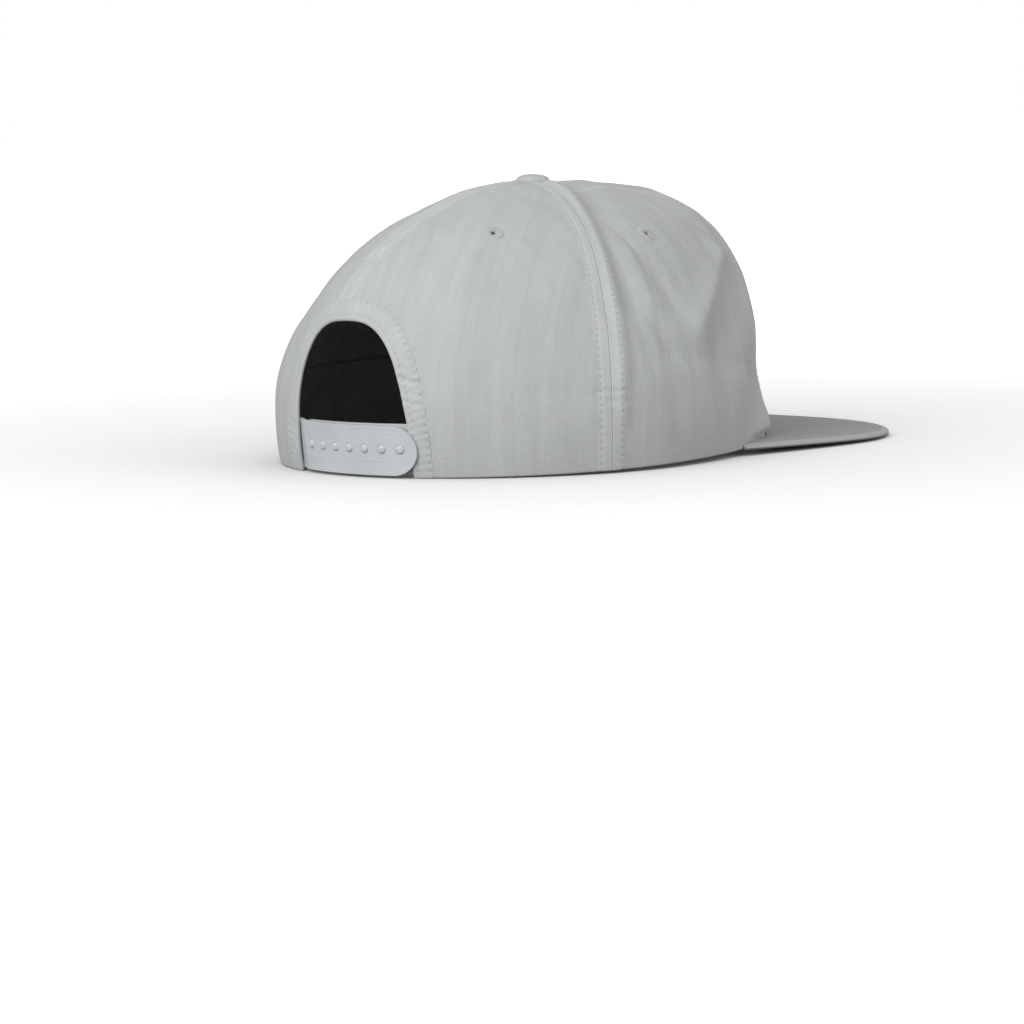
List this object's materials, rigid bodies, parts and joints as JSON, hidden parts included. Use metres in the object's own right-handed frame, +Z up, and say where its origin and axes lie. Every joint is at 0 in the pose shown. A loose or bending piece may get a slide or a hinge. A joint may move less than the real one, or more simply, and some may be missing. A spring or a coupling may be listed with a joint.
{
  "type": "surf cap",
  "caption": "Unstructured fabric cap with a rounded panelled crown, flat brim, rear arch opening and a snap strap across it; worn on the head to shade the face",
  "frame": {"origin": "on the floor, under the middle of the part's bounding box, with the cap set down on its rim and brim", "axes": "+Z up; -Y is the way the brim points, +Y the back with the arch; -X is the wearer's right, +X the wearer's left"},
  "size_m": [0.1678, 0.2734, 0.1077],
  "materials": {
    "cloth": "light grey plain-woven cloth, matt",
    "binding": "the same cloth folded double and stitched twice",
    "brim_cloth": "grey cloth over a stiff board, rows of stitching",
    "band_cloth": "plain grey cloth band, matt",
    "thread": "grey embroidery thread, slight sheen",
    "strap_plastic": "light grey moulded plastic, satin"
  },
  "bodies": {
    "root": {"front_panel": "cloth", "side_panel_right": "cloth", "side_panel_left": "cloth", "back_panel_right": "cloth", "back_panel_left": "cloth", "arch_binding": "binding", "brim": "brim_cloth", "sweatband": "band_cloth", "button": "cloth", "eyelet_side_right": "thread", "eyelet_side_left": "thread", "eyelet_back_right": "thread", "eyelet_back_left": "thread", "strap_outer": "strap_plastic", "strap_inner": "strap_plastic"}
  },
  "joints": []
}
